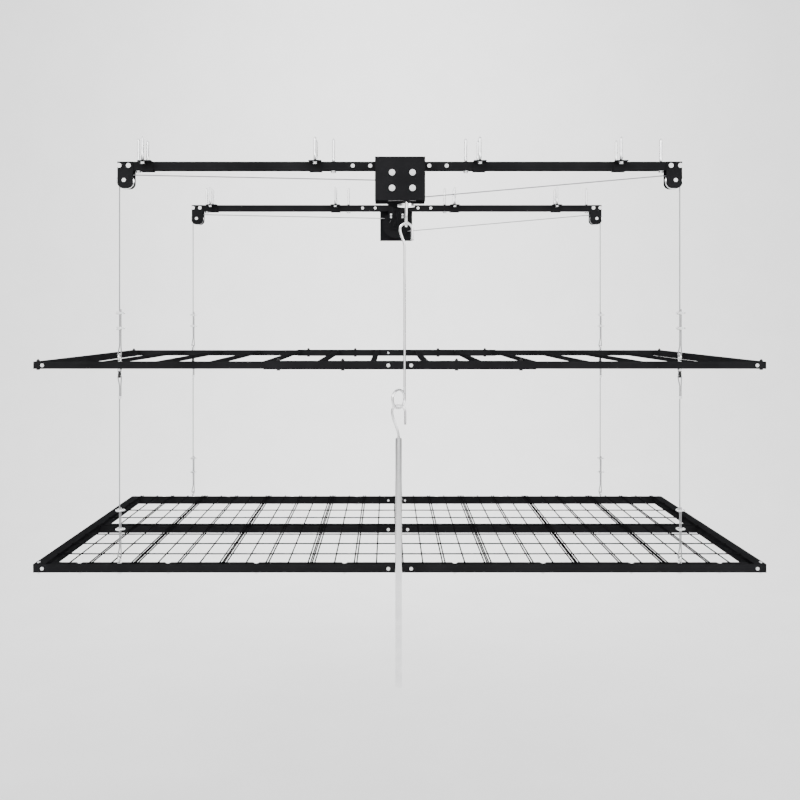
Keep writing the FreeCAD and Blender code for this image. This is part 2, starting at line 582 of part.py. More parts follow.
def rope_clip():
    """A rope clip at the origin: a saddle across both strands, held by a U bolt and nuts."""
    saddle = cut(
        box(("clip_length", "clip_width", "clip_height"),
            ("-clip_back", "-clip_width / 2", "-clip_height / 2")),
        *[rod("rope_radius", "clip_height", (x, "0", "-clip_height / 2")) for x in ("0", "strand_gap")],
        *[rod("staple_rod", "clip_length", ("-clip_back", f"{side} * staple_bend", "0"), "x")
          for side in SIDES.values()])
    staple = fuse(
        arc("staple_bend", "staple_rod", ("clip_length", "0", "0"), STRAIGHT, -90, 180),
        *[rod("staple_rod", "staple_leg", ("clip_length - staple_leg", f"{side} * staple_bend", "0"), "x")
          for side in SIDES.values()])
    nut_x = "-clip_back - clip_nut_height"
    nuts = [cut(hexagon("clip_nut", "clip_nut_height", (nut_x, f"{side} * staple_bend", "0"), "x"),
                rod("staple_rod", "clip_nut_height", (nut_x, f"{side} * staple_bend", "0"), "x"))
            for side in SIDES.values()]
    return group(saddle, staple, *nuts)


def build_rope_ends():
    """Rope ends at both tiers with their clips, and the ropes that carry the lower tier."""
    corners = [(f"{end} * hang_x", f"{side} * rail_offset")
               for side in SIDES.values() for end in ENDS.values()]
    upper_bar = "upper_top - 2 * eyebolt_bend - eyebolt_rod"
    lower_bar = "lower_top - 2 * eyebolt_bend - eyebolt_rod"
    live = f"({upper_bar}) - loop_rise - drop_bottom"
    main_end = fuse(*rope_loop(),
                    rod("rope_radius", live, ("0", "0", "loop_rise")),
                    rod("rope_radius", f"{live} - tail_step", ("strand_gap", "0", "loop_rise")))
    node("main_cable_ends", *[copy(main_end, (x, y, f"-({upper_bar})")) for x, y in corners])

    clip = rope_clip()
    node("rope_clips", *[copy(clip, (x, y, f"-{z}")) for x, y in corners
                         for z in ("main_clip_high", "main_clip_low", "low_clip_high", "low_clip_low")])

    # The lower rope hooks under the upper tier's eye, and its foot is the same loop as above.
    neck = "-under_eye_bar - loop_rise"
    foot_top = f"-({lower_bar}) + loop_rise"
    length = f"({lower_bar}) - loop_rise - under_eye_bar - loop_rise"
    lower_rope = fuse(
        arc("loop_bend", "rope_radius", ("0", "0", "-under_eye_bar"), IN_XZ, 0, 180),
        strut("rope_radius", ("-loop_bend", "0", "-under_eye_bar"), ("0", "0", neck)),
        strut("rope_radius", ("loop_bend", "0", "-under_eye_bar"), ("strand_gap", "0", neck)),
        rod("rope_radius", "ferrule_drop - under_eye_bar - loop_rise + ferrule_tail",
            ("strand_gap", "0", "-ferrule_drop - ferrule_tail")),
        rod("rope_radius", length, ("0", "0", foot_top)),
        arc("loop_bend", "rope_radius", ("0", "0", f"-({lower_bar})"), IN_XZ, 180, 180),
        strut("rope_radius", ("-loop_bend", "0", f"-({lower_bar})"), ("0", "0", foot_top)),
        strut("rope_radius", ("loop_bend", "0", f"-({lower_bar})"), ("strand_gap", "0", foot_top)),
        rod("rope_radius", f"({lower_bar}) - loop_rise - low_clip_high + low_tail",
            ("strand_gap", "0", foot_top)))
    node("lower_cables", *[copy(lower_rope, (x, y, "0")) for x, y in corners])
    ferrule = cut(
        box(("ferrule_length", "ferrule_width", "ferrule_height"),
            ("-ferrule_back", "-ferrule_width / 2", "-ferrule_height / 2")),
        *[rod("rope_radius", "ferrule_height", (x, "0", "-ferrule_height / 2")) for x in ("0", "strand_gap")])
    node("cable_ferrules", *[copy(ferrule, (x, y, "-ferrule_drop")) for x, y in corners])


def eyebolt(grip):
    """An eye above Z = 0 in the YZ plane, a collar, a shank through the beam and a nut below."""
    centre = "eyebolt_bend + eyebolt_rod - 0.01"
    body = fuse(
        arc("eyebolt_bend", "eyebolt_rod", ("0", "0", centre), IN_YZ, 0, 360),
        rod("eye_collar", "eye_collar_thick", ("0", "0", "0")),
        rod("eyebolt_shank", f"{grip} + eye_tail", ("0", "0", f"-({grip}) - eye_tail")))
    nut_low = f"-({grip}) - eye_nut_height"
    nut = cut(hexagon("eye_nut", "eye_nut_height", ("0", "0", nut_low)),
              rod("eyebolt_shank", "eye_nut_height", ("0", "0", nut_low)))
    return group(body, nut)


def build_eyebolts():
    corners = [(f"{end} * hang_x", f"{side} * rail_offset")
               for side in SIDES.values() for end in ENDS.values()]
    upper, lower = eyebolt("upper_side"), eyebolt("lower_side")
    node("eyebolts", *[copy(bolt_here, (x, y, z)) for x, y in corners
                       for bolt_here, z in ((upper, "-upper_top"), (lower, "-lower_top"))])
    under = fuse(
        arc("under_eye_bend", "eyebolt_rod", ("0", "0", "-under_eye_bar + under_eye_bend"),
            IN_YZ, 0, 360),
        rod("under_collar", "under_collar_height",
            ("0", "0", "-upper_top - upper_side - under_collar_drop")))
    node("coupling_eyes", *[copy(under, (x, y, "0")) for x, y in corners])


# ---- upper tier ------------------------------------------------------------------------------

def long_beam(label, y, middle_z, side, holes):
    """A beam of two square tubes that meet at X = 0."""
    halves = []
    for start_x in ("-tier_half", "0"):
        outer, inner = square_tube("tier_half", side, "tier_wall", (start_x, y, middle_z), "x")
        halves.append(cut(outer, inner, *holes))
    node(label, *halves)


def vertical_hole(radius, x, y, top, depth):
    return rod(radius, depth, (x, y, f"-({top}) - ({depth})"))


def build_upper_tier():
    middle_z = "-upper_top - upper_side / 2"
    sleeve_gap = "(upper_sleeve_side - upper_side) / 2"
    sleeve_low = f"-upper_top - upper_side - {sleeve_gap}"
    bolt_xs = [f"{end} * {x}" for end in ENDS.values() for x in ("sleeve_bolt_near", "sleeve_bolt_far")]
    corner_xs = [f"{end} * (tier_half - upper_corner)" for end in ENDS.values()]
    for side_name, side in SIDES.items():
        y = f"{side} * rail_offset"
        holes = [vertical_hole("eyebolt_shank", f"{end} * hang_x", y, "upper_top", "upper_side")
                 for end in ENDS.values()]
        holes += [vertical_hole("small_shank", x, y, "upper_top", "upper_side")
                  for x in bolt_xs + corner_xs]
        holes += [rod("small_shank", "upper_side", (f"{end} * {x}", f"{y} - upper_side / 2", middle_z), "y")
                  for end in ENDS.values() for x in ("joint_bolt", "corner_bolt")]
        long_beam(f"upper_beam_{side_name}", y, middle_z, "upper_side", holes)

    sleeves = []
    for side in SIDES.values():
        y = f"{side} * rail_offset"
        outer = box(("2 * upper_sleeve_half", "upper_sleeve_side", "upper_sleeve_side"),
                    ("-upper_sleeve_half", f"{y} - upper_sleeve_side / 2", sleeve_low))
        inner = box(("2 * upper_sleeve_half", "upper_side", "upper_side"),
                    ("-upper_sleeve_half", f"{y} - upper_side / 2", f"{middle_z} - upper_side / 2"))
        holes = [rod("small_shank", "upper_sleeve_side", (x, y, sleeve_low)) for x in bolt_xs]
        holes += [rod("small_shank", "upper_sleeve_side",
                      (f"{end} * joint_bolt", f"{y} - upper_sleeve_side / 2", middle_z), "y")
                  for end in ENDS.values()]
        sleeves.append(cut(outer, inner, *holes))
    node("upper_sleeves", *sleeves)

    inner_y = "(rail_offset - upper_side / 2)"
    ends = []
    for end in ENDS.values():
        low_x = "-tier_half" if end < 0 else "tier_half - cross_width"
        outer = box(("cross_width", f"2 * {inner_y}", "upper_side"),
                    (low_x, f"-{inner_y}", "-upper_top - upper_side"))
        inner = box(("cross_width - 2 * tier_wall", f"2 * {inner_y}", "upper_side - 2 * tier_wall"),
                    (f"{low_x} + tier_wall", f"-{inner_y}", "-upper_top - upper_side + tier_wall"))
        ends.append(cut(outer, inner))
    node("upper_end_beams", *ends)

    slats = []
    for end in ENDS.values():
        for place in range(6):
            offset = number("slat_first") + place * number("slat_pitch")
            in_sleeve = offset < number("upper_sleeve_half")
            reach = f"({inner_y} - {sleeve_gap})" if in_sleeve else inner_y
            x = f"{end} * (slat_first + {place} * slat_pitch) - slat_width / 2"
            outer = box(("slat_width", f"2 * {reach}", "slat_depth"),
                        (x, f"-{reach}", "-upper_top - slat_depth"))
            inner = box(("slat_width - 2 * slat_wall", f"2 * {reach}", "slat_depth - 2 * slat_wall"),
                        (f"{x} + slat_wall", f"-{reach}", "-upper_top - slat_depth + slat_wall"))
            slats.append(cut(outer, inner))
    node("upper_slats", *slats)

    crossing = small_bolt("standing_head", "upper_side")
    sleeve_bolt = small_bolt("standing_head", "upper_sleeve_side")
    rows = []
    for side_name, side in SIDES.items():
        y = f"{side} * rail_offset"
        joint = small_bolt(f"{side_name}_head", "upper_sleeve_side", round_head=True)
        corner = small_bolt(f"{side_name}_head", "upper_side", round_head=True)
        rows += [copy(joint, (f"{end} * joint_bolt", f"{y} - upper_sleeve_side / 2", middle_z), ALONG["y"])
                 for end in ENDS.values()]
        rows += [copy(corner, (f"{end} * corner_bolt", f"{y} - upper_side / 2", middle_z), ALONG["y"])
                 for end in ENDS.values()]
    node("upper_side_bolts", *rows)
    rows = []
    for side in SIDES.values():
        y = f"{side} * rail_offset"
        rows += [copy(sleeve_bolt, (x, y, sleeve_low)) for x in bolt_xs]
        rows += [copy(crossing, (x, y, "-upper_top - upper_side")) for x in corner_xs]
    node("upper_standing_bolts", *rows)


# ---- lower tier ------------------------------------------------------------------------------

def build_lower_tier():
    middle_z = "-lower_top - lower_side / 2"
    clip_xs = [f"{end} * (deck_clip_first + {place} * deck_pitch)"
               for end in ENDS.values() for place in range(4)]
    corner_xs = [f"{end} * (tier_half - lower_corner)" for end in ENDS.values()]
    for side_name, side in SIDES.items():
        y = f"{side} * rail_offset"
        holes = [vertical_hole("eyebolt_shank", f"{end} * hang_x", y, "lower_top", "lower_side")
                 for end in ENDS.values()]
        holes += [vertical_hole("small_shank", x, y, "lower_top", "lower_side")
                  for x in clip_xs + corner_xs]
        holes += [rod("small_shank", "lower_side", (f"{end} * {x}", f"{y} - lower_side / 2", middle_z), "y")
                  for end in ENDS.values() for x in ("joint_bolt", "corner_bolt")]
        long_beam(f"lower_beam_{side_name}", y, middle_z, "lower_side", holes)

    reach = "(rail_offset - lower_side / 2)"
    halves = []
    for end in ENDS.values():
        low_x = "-tier_half + cross_width" if end < 0 else "0"
        outer = box(("tier_half - cross_width", "mid_width", "lower_side"),
                    (low_x, "-mid_width / 2", "-lower_top - lower_side"))
        inner = box(("tier_half - cross_width", "mid_width - 2 * tier_wall",
                     "lower_side - 2 * tier_wall"),
                    (low_x, "-mid_width / 2 + tier_wall", "-lower_top - lower_side + tier_wall"))
        hole = rod("small_shank", "mid_width", (f"{end} * joint_bolt", "-mid_width / 2", middle_z), "y")
        halves.append(cut(outer, inner, hole))
    node("lower_mid_beam", *halves)

    ends = []
    for end in ENDS.values():
        low_x = "-tier_half" if end < 0 else "tier_half - cross_width"
        outer = box(("cross_width", f"2 * {reach}", "lower_side"),
                    (low_x, f"-{reach}", "-lower_top - lower_side"))
        inner = box(("cross_width - 2 * tier_wall", f"2 * {reach}", "lower_side - 2 * tier_wall"),
                    (f"{low_x} + tier_wall", f"-{reach}", "-lower_top - lower_side + tier_wall"))
        ends.append(cut(outer, inner))
    node("lower_end_beams", *ends)

    rows = []
    mid_bolt = small_bolt("front_head", "mid_width", round_head=True)
    for side_name, side in SIDES.items():
        y = f"{side} * rail_offset - lower_side / 2"
        side_bolt = small_bolt(f"{side_name}_head", "lower_side", round_head=True)
        rows += [copy(side_bolt, (f"{end} * {x}", y, middle_z), ALONG["y"])
                 for end in ENDS.values() for x in ("joint_bolt", "corner_bolt")]
    rows += [copy(mid_bolt, (f"{end} * joint_bolt", "-mid_width / 2", middle_z), ALONG["y"])
             for end in ENDS.values()]
    node("lower_side_bolts", *rows)
    standing = small_bolt("standing_head", "lower_side")
    node("lower_standing_bolts", *[
        copy(standing, (x, f"{side} * rail_offset", "-lower_top"), ALONG["-z"])
        for side in SIDES.values() for x in corner_xs])
    clip_bolt = small_bolt("clip_head", "lower_side", round_head=True, head_height="clip_head_height")
    node("deck_clips", *[
        copy(clip_bolt, (x, f"{side} * rail_offset", "-lower_top"), ALONG["-z"])
        for side in SIDES.values() for x in clip_xs])


def build_deck():
    """Eight welded wire panels side by side on top of the lower beams."""
    half = "deck_pitch / 2"
    offsets = []
    for side in ENDS.values():
        offsets += [f"{side} * deck_pair", f"{side} * deck_single",
                    f"{side} * ({half} - deck_edge - deck_pair)",
                    f"{side} * ({half} - deck_edge + deck_pair)"]
    wires = [rod("deck_wire", "2 * deck_half", (x, "-deck_half", "deck_wire"), "y") for x in offsets]
    cross_half = f"({half} - deck_edge + deck_pair + deck_wire)"
    for place in range(8):
        y = f"-rail_offset - lower_side / 2 + deck_first + {place} * deck_step"
        wires.append(rod("deck_wire", f"2 * {cross_half}",
                         (f"-{cross_half}", y, "3 * deck_wire - deck_weld"), "x"))
    panel = fuse(*wires)
    node("deck_panels", *[
        copy(panel, (f"({place} - 3.5) * deck_pitch", "0", "-lower_top")) for place in range(8)])


# ---- hanging crank ---------------------------------------------------------------------------

def build_crank():
    """A hook rod with a ring hangs in the input eye, and a hook with a tube hangs in the ring."""
    y = "-worm_y"
    hook_top = "-eye_arc_drop - eye_half + eye_rod + crank_rod + crank_gap"
    hook_z = f"{hook_top} - hook_bend"
    left_x, right_x = "worm_x - hook_bend", "worm_x + hook_bend"
    turn = math.radians(number("ring_turn"))
    across = FreeCAD.Vector(math.cos(turn), math.sin(turn), 0) * number("ring_bend")
    ring_x = number("rod_x") - across.x
    ring_y = -number("worm_y") - across.y
    ring_plane = FreeCAD.Rotation(Z_AXIS, number("ring_turn")).multiply(IN_XZ)
    node("crank_rod", fuse(
        arc("hook_bend", "crank_rod", ("worm_x", y, hook_z), IN_XZ, 0, 180),
        rod("crank_rod", f"{hook_z} + hook_tip", (right_x, y, "-hook_tip")),
        ball("crank_rod", (right_x, y, "-hook_tip")),
        rod("crank_rod", f"{hook_z} + rod_shoulder", (left_x, y, "-rod_shoulder")),
        ball("crank_rod", (left_x, y, "-rod_shoulder")),
        strut("crank_rod", (left_x, y, "-rod_shoulder"), ("rod_x", y, "-rod_straight")),
        ball("crank_rod", ("rod_x", y, "-rod_straight")),
        rod("crank_rod", "ring_drop - rod_straight", ("rod_x", y, "-ring_drop")),
        arc("ring_bend", "crank_rod", (ring_x, ring_y, "-ring_drop"), ring_plane, 0, 360)))

    hook_top = "-ring_drop - ring_bend + 2 * crank_rod + ring_gap"
    hook_z = f"{hook_top} - tube_hook_bend"
    left_x, right_x = f"{ring_x} - tube_hook_bend", f"{ring_x} + tube_hook_bend"
    plug_z = "-crank_tube_top - crank_plug"
    shoulder_z = "-tube_hook_tip + tube_hook_step"
    node("crank_hook", fuse(
        arc("tube_hook_bend", "crank_rod", (ring_x, ring_y, hook_z), IN_XZ, 0, 180),
        rod("crank_rod", f"{hook_z} + tube_hook_tip", (right_x, ring_y, "-tube_hook_tip")),
        ball("crank_rod", (right_x, ring_y, "-tube_hook_tip")),
        rod("crank_rod", f"{hook_z} - ({shoulder_z})", (left_x, ring_y, shoulder_z)),
        ball("crank_rod", (left_x, ring_y, shoulder_z)),
        strut("crank_rod", (left_x, ring_y, shoulder_z), ("crank_tube_x", ring_y, "-crank_tube_top")),
        ball("crank_rod", ("crank_tube_x", ring_y, "-crank_tube_top")),
        rod("crank_rod", "crank_plug", ("crank_tube_x", ring_y, plug_z))))
    blank = fuse(
        rod("crank_tube_radius", "crank_tube_bottom - crank_tube_top - crank_tube_neck",
            ("crank_tube_x", ring_y, "-crank_tube_bottom")),
        cone("crank_tube_radius", "crank_tube_radius - crank_tube_taper", "crank_tube_neck",
             ("crank_tube_x", ring_y, "-crank_tube_top - crank_tube_neck")))
    node("crank_tube", cut(
        blank,
        rod("crank_tube_bore", "crank_tube_bottom - crank_tube_top - crank_plug",
            ("crank_tube_x", ring_y, "-crank_tube_bottom")),
        ball("crank_rod", ("crank_tube_x", ring_y, "-crank_tube_top")),
        rod("crank_rod", "crank_plug", ("crank_tube_x", ring_y, plug_z))))


def check(feature):
    """Stop if a sub-part failed to compute or its shape is not sound."""
    if feature.Shape.isNull() or not feature.Shape.isValid():
        raise RuntimeError(f"{feature.Label} has no valid shape")


build_rails()
build_ceiling_fixings()
build_pulleys()
build_cover()
build_gearbox()
build_drums()
build_main_ropes()
build_rope_ends()
build_eyebolts()
build_upper_tier()
build_lower_tier()
build_deck()
build_crank()
doc.recompute()

failed = [item.Label for item in doc.Objects if "Invalid" in item.State or "Error" in item.State]
if failed:
    raise RuntimeError(f"failed objects: {failed}")
os.makedirs("parts", exist_ok=True)
for feature in nodes:
    check(feature)
for feature in nodes:
    feature.Shape.exportStep(f"parts/{feature.Label}.step")
print(len(nodes), "nodes")
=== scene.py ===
"""Looks for a ceiling mounted pulley rack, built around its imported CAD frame. Lengths are metres."""

import json
import math

import bpy
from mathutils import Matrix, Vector


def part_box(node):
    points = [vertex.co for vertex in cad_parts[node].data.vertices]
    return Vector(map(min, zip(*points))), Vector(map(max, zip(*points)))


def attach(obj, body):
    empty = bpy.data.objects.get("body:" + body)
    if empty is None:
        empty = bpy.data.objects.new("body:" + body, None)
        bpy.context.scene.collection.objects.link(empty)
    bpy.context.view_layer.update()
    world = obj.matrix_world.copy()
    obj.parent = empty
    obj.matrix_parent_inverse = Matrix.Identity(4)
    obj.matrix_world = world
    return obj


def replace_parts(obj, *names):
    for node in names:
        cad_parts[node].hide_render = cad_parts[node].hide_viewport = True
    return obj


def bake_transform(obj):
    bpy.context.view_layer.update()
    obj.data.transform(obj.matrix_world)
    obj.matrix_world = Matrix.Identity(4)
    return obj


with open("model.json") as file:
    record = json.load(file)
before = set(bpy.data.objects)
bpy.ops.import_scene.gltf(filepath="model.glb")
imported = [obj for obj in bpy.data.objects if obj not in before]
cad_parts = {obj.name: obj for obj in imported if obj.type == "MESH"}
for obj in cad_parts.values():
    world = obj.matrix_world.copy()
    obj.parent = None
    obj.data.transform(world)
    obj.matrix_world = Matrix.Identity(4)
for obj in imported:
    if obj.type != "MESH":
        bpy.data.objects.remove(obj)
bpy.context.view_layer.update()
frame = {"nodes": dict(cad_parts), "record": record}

MM = 0.001
Y_AXIS = Vector((0, 1, 0))
SIDES = {"front": -1, "rear": 1}
ENDS = {"left": -1, "right": 1}

# Places worked out from the CAD nodes.
RAIL_Y = (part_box("rail_rear_left")[0][1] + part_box("rail_rear_left")[1][1]) / 2
RAIL_SIDE = -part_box("rail_rear_left")[0][2]
DRUM_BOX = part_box("cable_drum_rear")
DRUM_X = (DRUM_BOX[0][0] + DRUM_BOX[1][0]) / 2
DRUM_Z = (DRUM_BOX[0][2] + DRUM_BOX[1][2]) / 2
PULLEY_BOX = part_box("pulley_rear_right")
PULLEY_X = (PULLEY_BOX[0][0] + PULLEY_BOX[1][0]) / 2
PULLEY_Z = (PULLEY_BOX[0][2] + PULLEY_BOX[1][2]) / 2
DROP_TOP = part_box("cable_drops")[1][2]
DROP_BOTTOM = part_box("cable_drops")[0][2]
ROPE_RADIUS = 2 * MM
DRUM_PITCH = 31 * MM
HANG_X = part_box("cable_drops")[1][0] - ROPE_RADIUS
PULLEY_PITCH = HANG_X - PULLEY_X

# Places along the rails, and sizes of the hanging crank, that no box of a CAD node gives.
STRAP_SCREW_X = (-0.8495, -0.280, 0.265, 0.731)
INNER_LAG_X = 0.2205
CRANK_RADIUS = 4 * MM
ROD_X, ROD_HOOK_BEND, ROD_HOOK_TIP, ROD_SWEEP = 15 * MM, 20 * MM, -270 * MM, -288 * MM
RING_BEND, RING_TURN = 29.5 * MM, math.radians(48)
TUBE_HOOK_BEND, TUBE_HOOK_TIP = 21 * MM, -865 * MM


# ---- materials -------------------------------------------------------------------------------

class Surface:
    """A node material under construction, with short calls for the nodes used here."""

    def __init__(self, name, color, metallic, roughness):
        self.material = bpy.data.materials.new(name)
        self.material.use_nodes = True
        self.nodes = self.material.node_tree.nodes
        self.links = self.material.node_tree.links
        self.shader = self.nodes["Principled BSDF"]
        self.shader.inputs["Base Color"].default_value = (*color, 1)
        self.shader.inputs["Metallic"].default_value = metallic
        self.shader.inputs["Roughness"].default_value = roughness
        self.place = self.nodes.new("ShaderNodeTexCoord").outputs["Object"]

    def noise(self, scale, detail=2.0, stretch=(1, 1, 1)):
        """Noise of so many cells a metre, drawn out along an axis whose stretch is small."""
        mapping = self.nodes.new("ShaderNodeMapping")
        mapping.inputs["Scale"].default_value = stretch
        texture = self.nodes.new("ShaderNodeTexNoise")
        texture.inputs["Scale"].default_value = scale
        texture.inputs["Detail"].default_value = detail
        self.links.new(self.place, mapping.inputs["Vector"])
        self.links.new(mapping.outputs["Vector"], texture.inputs["Vector"])
        return texture.outputs["Fac"]

    def span(self, value, low, high, start=0.3, stop=0.7):
        """Map a value from start..stop to low..high."""
        ranged = self.nodes.new("ShaderNodeMapRange")
        ranged.inputs["From Min"].default_value = start
        ranged.inputs["From Max"].default_value = stop
        ranged.inputs["To Min"].default_value = low
        ranged.inputs["To Max"].default_value = high
        self.links.new(value, ranged.inputs["Value"])
        return ranged.outputs["Result"]

    def tint(self, value, dark, light):
        """Blend two colours by a value and use the result as the base colour."""
        mix = self.nodes.new("ShaderNodeMix")
        mix.data_type = "RGBA"
        mix.inputs["A"].default_value = (*dark, 1)
        mix.inputs["B"].default_value = (*light, 1)
        self.links.new(value, mix.inputs["Factor"])
        self.links.new(mix.outputs["Result"], self.shader.inputs["Base Color"])

    def roughen(self, value):
        self.links.new(value, self.shader.inputs["Roughness"])

    def bump(self, value, distance, strength=1.0):
        bump = self.nodes.new("ShaderNodeBump")
        bump.inputs["Distance"].default_value = distance
        bump.inputs["Strength"].default_value = strength
        self.links.new(value, bump.inputs["Height"])
        self.links.new(bump.outputs["Normal"], self.shader.inputs["Normal"])


def powder_coat():
    """Matt black powder coat: a fine orange peel, faint cloudiness, and edges rubbed a little lighter."""
    surface = Surface("black_powder_coat", (0.009, 0.009, 0.010), 0.0, 0.7)
    surface.shader.inputs["Specular IOR Level"].default_value = 0.0
    worn = surface.nodes.new("ShaderNodeNewGeometry").outputs["Pointiness"]
    edges = surface.span(worn, 0.0, 0.55, 0.51, 0.60)
    cloud = surface.span(surface.noise(9, 4), 0.0, 0.45)
    total = surface.nodes.new("ShaderNodeMath")
    total.operation = "ADD"
    surface.links.new(edges, total.inputs[0])
    surface.links.new(cloud, total.inputs[1])
    surface.tint(total.outputs["Value"], (0.0045, 0.0045, 0.0050), (0.013, 0.013, 0.0140))
    surface.roughen(surface.span(surface.noise(60, 3), 0.6, 0.8))
    surface.bump(surface.noise(1400, 3), 0.00012, 0.5)
    return surface.material


def coated_wire():
    """Dipped black wire: smoother than the beams."""
    surface = Surface("coated_wire", (0.008, 0.008, 0.009), 0.0, 0.34)
    surface.shader.inputs["Specular IOR Level"].default_value = 0.0
    surface.tint(surface.span(surface.noise(14, 3), 0, 1), (0.0035, 0.0035, 0.0040), (0.008, 0.008, 0.0085))
    surface.roughen(surface.span(surface.noise(90, 3), 0.28, 0.44))
    surface.bump(surface.noise(500, 2), 0.00015, 0.4)
    return surface.material


def zinc_plate():
    """Bright zinc on fasteners: soft crystalline patches and a slight cast of colour."""
    surface = Surface("zinc_plate", (0.74, 0.75, 0.77), 1.0, 0.25)
    patches = surface.noise(220, 4)
    surface.tint(surface.span(patches, 0, 1), (0.80, 0.81, 0.83), (0.95, 0.95, 0.94))
    surface.roughen(surface.span(surface.noise(400, 3), 0.15, 0.28))
    surface.bump(surface.noise(1800, 2), 0.00008, 0.35)
    return surface.material


def drawn_steel():
    """Plated drawn bar: fine lines along its length, with patches where hands have dulled it."""
    surface = Surface("drawn_steel", (0.80, 0.80, 0.81), 1.0, 0.18)
    lines = surface.noise(2600, 2, (1, 1, 0.015))
    surface.tint(surface.span(surface.noise(35, 4), 0, 1), (0.86, 0.86, 0.87), (0.96, 0.96, 0.96))
    surface.roughen(surface.span(lines, 0.08, 0.18))
    surface.bump(lines, 0.00004, 0.4)
    return surface.material


def rope_steel():
    """Galvanised rope wire: dull grey, with painted shade darkening the hollows of the lay."""
    surface = Surface("rope_steel", (0.60, 0.61, 0.62), 1.0, 0.36)
    # Painted shade: the base colour goes darker where the surface is hollow, between the strands.
    painted_lay_shade = surface.nodes.new("ShaderNodeNewGeometry").outputs["Pointiness"]
    surface.tint(surface.span(painted_lay_shade, 0, 1, 0.44, 0.54), (0.34, 0.34, 0.35), (0.78, 0.79, 0.80))
    surface.roughen(surface.span(surface.noise(700, 3), 0.28, 0.46))
    surface.bump(surface.noise(3000, 2), 0.00006, 0.5)
    return surface.material


def blackened():
    """Black oxide on the standing bolts and coupling eyes."""
    surface = Surface("black_oxide", (0.02, 0.02, 0.022), 0.3, 0.45)
    surface.shader.inputs["Specular IOR Level"].default_value = 0.1
    surface.tint(surface.span(surface.noise(240, 4), 0, 1), (0.012, 0.012, 0.014), (0.036, 0.035, 0.034))
    surface.roughen(surface.span(surface.noise(300, 3), 0.30, 0.50))
    surface.bump(surface.noise(1500, 2), 0.00008, 0.4)
    return surface.material


def cast_housing():
    surface = Surface("cast_housing", (0.05, 0.05, 0.053), 0.7, 0.6)
    surface.tint(surface.span(surface.noise(60, 5), 0, 1), (0.03, 0.03, 0.032), (0.08, 0.08, 0.082))
    surface.roughen(surface.span(surface.noise(300, 4), 0.5, 0.75))
    surface.bump(surface.noise(420, 6), 0.0004, 0.7)
    return surface.material


def bronze():
    surface = Surface("bearing_bronze", (0.50, 0.33, 0.16), 1.0, 0.34)
    surface.tint(surface.span(surface.noise(150, 4), 0, 1), (0.38, 0.24, 0.11), (0.60, 0.41, 0.21))
    surface.roughen(surface.span(surface.noise(900, 2, (1, 0.05, 1)), 0.26, 0.44))
    surface.bump(surface.noise(900, 2, (1, 0.05, 1)), 0.00006, 0.4)
    return surface.material


def studio_paper():
    """White paper, with painted shade fading it to grey well out at both sides of the rack."""
    surface = Surface("studio_paper", (0.93, 0.93, 0.93), 0.0, 0.9)
    surface.shader.inputs["Specular IOR Level"].default_value = 0.0
    split = surface.nodes.new("ShaderNodeSeparateXYZ")
    surface.links.new(surface.place, split.inputs["Vector"])
    aside = surface.nodes.new("ShaderNodeMath")
    aside.operation = "ABSOLUTE"
    surface.links.new(split.outputs["X"], aside.inputs[0])
    paper = surface.nodes.new("ShaderNodeMath")
    paper.operation = "MULTIPLY"
    # Painted shade: the paper colour falls from full to 0.4 between 5 m and 11 m out to either side.
    surface.links.new(surface.span(aside.outputs["Value"], 1.0, 0.4, 5.0, 11.0), paper.inputs[0])
    surface.links.new(surface.span(surface.noise(3, 3), 0.97, 1.0), paper.inputs[1])
    surface.tint(paper.outputs["Value"], (0, 0, 0), (0.94, 0.94, 0.94))
    return surface.material


FINISHES = {
    "black_powder_coat": powder_coat(),
    "black_wire_coat": coated_wire(),
    "gearbox_casting": cast_housing(),
    "bronze": bronze(),
    "wire_rope": rope_steel(),
    "bright_chrome": drawn_steel(),
    "black_fastener": blackened(),
    "zinc_steel": zinc_plate(),
}


def paint(piece, slot):
    """Give a piece the finish of one of the record's material slots."""
    piece.data.materials.clear()
    piece.data.materials.append(FINISHES[slot])


# ---- mesh helpers ----------------------------------------------------------------------------

def mesh_piece(name, verts, faces, slot, body, smooth=True):
    """Make a mesh object from plain lists, with its finish and the body that it rides on."""
    mesh = bpy.data.meshes.new(name)
    mesh.from_pydata(verts, [], faces)
    mesh.update()
    for polygon in mesh.polygons:
        polygon.use_smooth = smooth
    piece = bpy.data.objects.new(name, mesh)
    bpy.context.scene.collection.objects.link(piece)
    paint(piece, slot)
    if body:
        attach(piece, body)
    return piece


